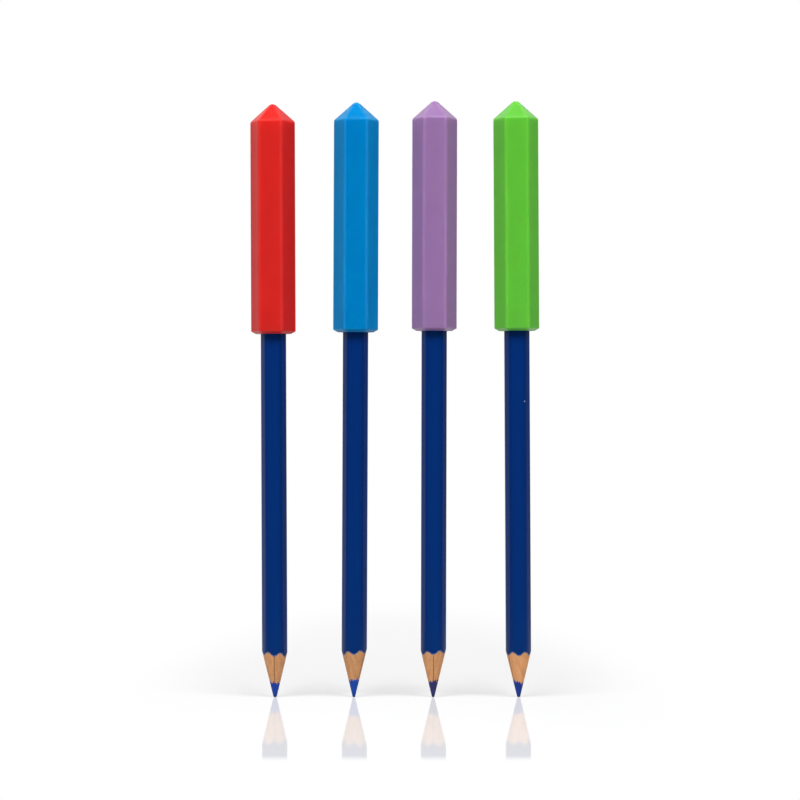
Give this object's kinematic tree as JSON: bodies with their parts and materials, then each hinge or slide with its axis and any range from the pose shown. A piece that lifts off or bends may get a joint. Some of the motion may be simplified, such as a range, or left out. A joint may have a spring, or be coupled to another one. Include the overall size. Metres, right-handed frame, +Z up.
{
  "type": "chewable pencil topper set",
  "caption": "Row of six-sided coloured pencils standing on their points, each with a pointed six-sided chewable silicone topper that pulls off along the barrel.",
  "frame": {"origin": "under the middle of the row, on the surface that the pencils' points touch", "axes": "+Z up along the pencils from their points to their toppers, +X along the row from the red topper to the green one, -Y towards the viewer"},
  "size_m": [0.0851, 0.0122, 0.1753],
  "materials": {
    "red_silicone": "soft matte silicone",
    "blue_silicone": "soft matte silicone",
    "purple_silicone": "soft matte silicone",
    "green_silicone": "soft matte silicone",
    "blue_lacquer": "glossy dark blue lacquer",
    "casing_wood": "bare sharpened softwood",
    "wood_glue": "dried brown glue",
    "pigment_core_1": "waxy pigment",
    "pigment_core_2": "waxy pigment",
    "pigment_core_3": "waxy pigment",
    "pigment_core_4": "waxy pigment"
  },
  "bodies": {
    "pencil_1": {"lacquer_coat_1": "blue_lacquer", "left_slat_1": "casing_wood", "right_slat_1": "casing_wood", "glue_line_1": "wood_glue", "colour_core_1": "pigment_core_1"},
    "red_topper": {"red_topper": "red_silicone"},
    "pencil_2": {"lacquer_coat_2": "blue_lacquer", "left_slat_2": "casing_wood", "right_slat_2": "casing_wood", "glue_line_2": "wood_glue", "colour_core_2": "pigment_core_2"},
    "blue_topper": {"blue_topper": "blue_silicone"},
    "pencil_3": {"lacquer_coat_3": "blue_lacquer", "left_slat_3": "casing_wood", "right_slat_3": "casing_wood", "glue_line_3": "wood_glue", "colour_core_3": "pigment_core_3"},
    "purple_topper": {"purple_topper": "purple_silicone"},
    "pencil_4": {"lacquer_coat_4": "blue_lacquer", "left_slat_4": "casing_wood", "right_slat_4": "casing_wood", "glue_line_4": "wood_glue", "colour_core_4": "pigment_core_4"},
    "green_topper": {"green_topper": "green_silicone"}
  },
  "joints": [
    {"name": "red_topper_pull", "type": "slide", "parent": "pencil_1", "child": "red_topper", "axis": [-0.004, 0, 1], "range_m": [0, 0.045]},
    {"name": "pencil_2_lift", "type": "slide", "parent": "pencil_1", "child": "pencil_2", "axis": [0, 0, 1], "range_m": [0, 0.05]},
    {"name": "blue_topper_pull", "type": "slide", "parent": "pencil_2", "child": "blue_topper", "axis": [0.004, 0, 1], "range_m": [0, 0.045]},
    {"name": "pencil_3_lift", "type": "slide", "parent": "pencil_1", "child": "pencil_3", "axis": [0, 0, 1], "range_m": [0, 0.05]},
    {"name": "purple_topper_pull", "type": "slide", "parent": "pencil_3", "child": "purple_topper", "axis": [0.0024, 0, 1], "range_m": [0, 0.045]},
    {"name": "pencil_4_lift", "type": "slide", "parent": "pencil_1", "child": "pencil_4", "axis": [0, 0, 1], "range_m": [0, 0.05]},
    {"name": "green_topper_pull", "type": "slide", "parent": "pencil_4", "child": "green_topper", "axis": [-0.0051, 0, 1], "range_m": [0, 0.045]}
  ]
}
